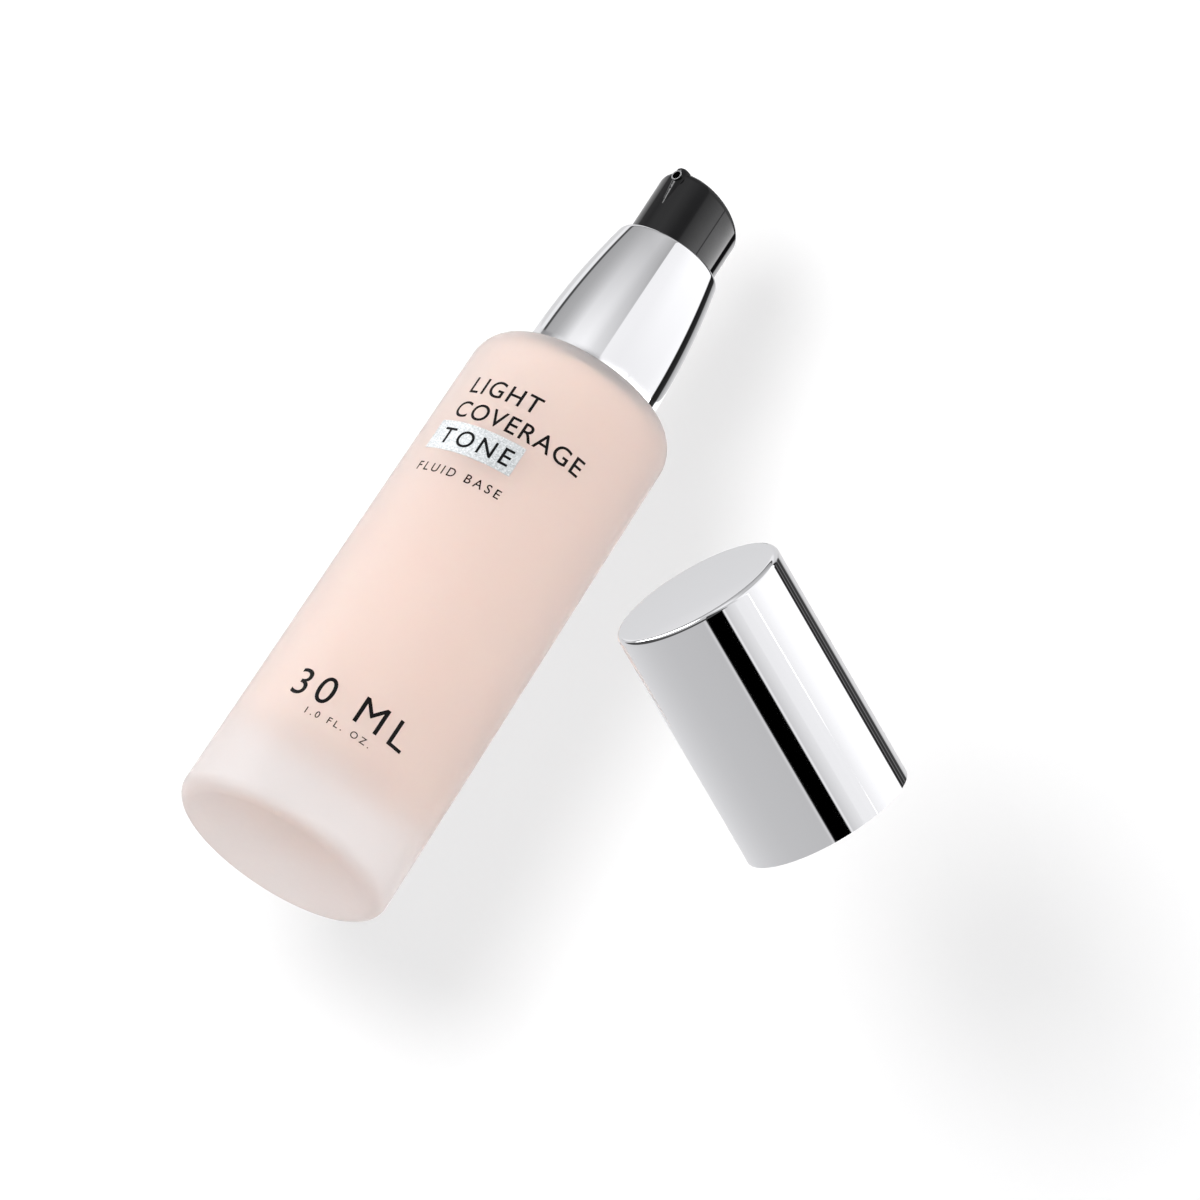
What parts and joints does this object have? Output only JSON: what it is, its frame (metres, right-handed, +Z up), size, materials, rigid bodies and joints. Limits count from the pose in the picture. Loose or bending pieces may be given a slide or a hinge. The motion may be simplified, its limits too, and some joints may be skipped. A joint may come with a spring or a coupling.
{
  "type": "foundation bottle",
  "caption": "Tapered frosted-glass pump bottle of liquid foundation with a metal collar, a push-down slanted actuator and a separate metal cap.",
  "frame": {"origin": "centre of the bottle's base, on the surface it stands on", "axes": "+Z up along the bottle's axis, -Y towards the label side, the cap leans in front and to the right (+X, -Y)"},
  "size_m": [0.102, 0.1402, 0.1202],
  "materials": {
    "frosted_glass": "frosted outside, clear in the thick base",
    "foundation": "smooth thick liquid, satin",
    "silver_foil": "fine glitter foil",
    "gasket_foam": "matt",
    "white_plastic": "moulded",
    "mirror_metal": "mirror",
    "natural_plastic": "moulded, translucent",
    "clear_tube": "extruded, translucent",
    "steel": "bright",
    "piston_plastic": "soft moulded",
    "black_gloss": "polished",
    "black_plastic": "moulded",
    "dark_grey_plastic": "satin",
    "liner_plastic": "moulded"
  },
  "bodies": {
    "bottle_assembly": {"bottle": "frosted_glass", "foundation_fill": "foundation", "foil_patch": "silver_foil", "neck_gasket": "gasket_foam", "screw_closure": "white_plastic", "collar_shell": "mirror_metal", "pump_housing": "natural_plastic", "housing_lock": "white_plastic", "ball_retainer": "natural_plastic", "dip_tube": "clear_tube", "return_spring": "steel"},
    "plunger": {"stem": "white_plastic", "stem_core": "white_plastic"},
    "pump_piston": {"piston": "piston_plastic"},
    "valve_ball": {"inlet_ball": "steel"},
    "actuator": {"actuator_shell": "black_gloss", "actuator_insert": "black_plastic", "nozzle_tip": "dark_grey_plastic"},
    "cap": {"cap_shell": "mirror_metal", "cap_liner": "liner_plastic"}
  },
  "joints": [
    {"name": "pump_press", "type": "slide", "parent": "bottle_assembly", "child": "plunger", "axis": [0, 0, -1], "range_m": [0, 0.0042], "stiffness_N_per_m": 900, "springref_m": -0.004, "deforming": ["return_spring"]},
    {"name": "piston_slide", "type": "slide", "parent": "bottle_assembly", "child": "pump_piston", "axis": [0, 0, -1], "range_m": [0, 0.0036]},
    {"name": "valve_lift", "type": "slide", "parent": "bottle_assembly", "child": "valve_ball", "axis": [0, 0, 1], "range_m": [0, 0.0008]},
    {"name": "actuator_turn", "type": "hinge", "parent": "plunger", "child": "actuator", "pos_m": [0, 0, 0.1055], "axis": [0, 0, 1], "continuous": true},
    {"name": "cap_tip", "type": "hinge", "parent": "bottle_assembly", "child": "cap", "pos_m": [0.07398, -0.09511, 0], "axis": [-0.5721, 0.8202, 0], "range_deg": [-17.93, 72.07]}
  ],
  "couplings": [
    {"joint": "piston_slide", "follows": "pump_press", "ratio": 0.84}
  ]
}
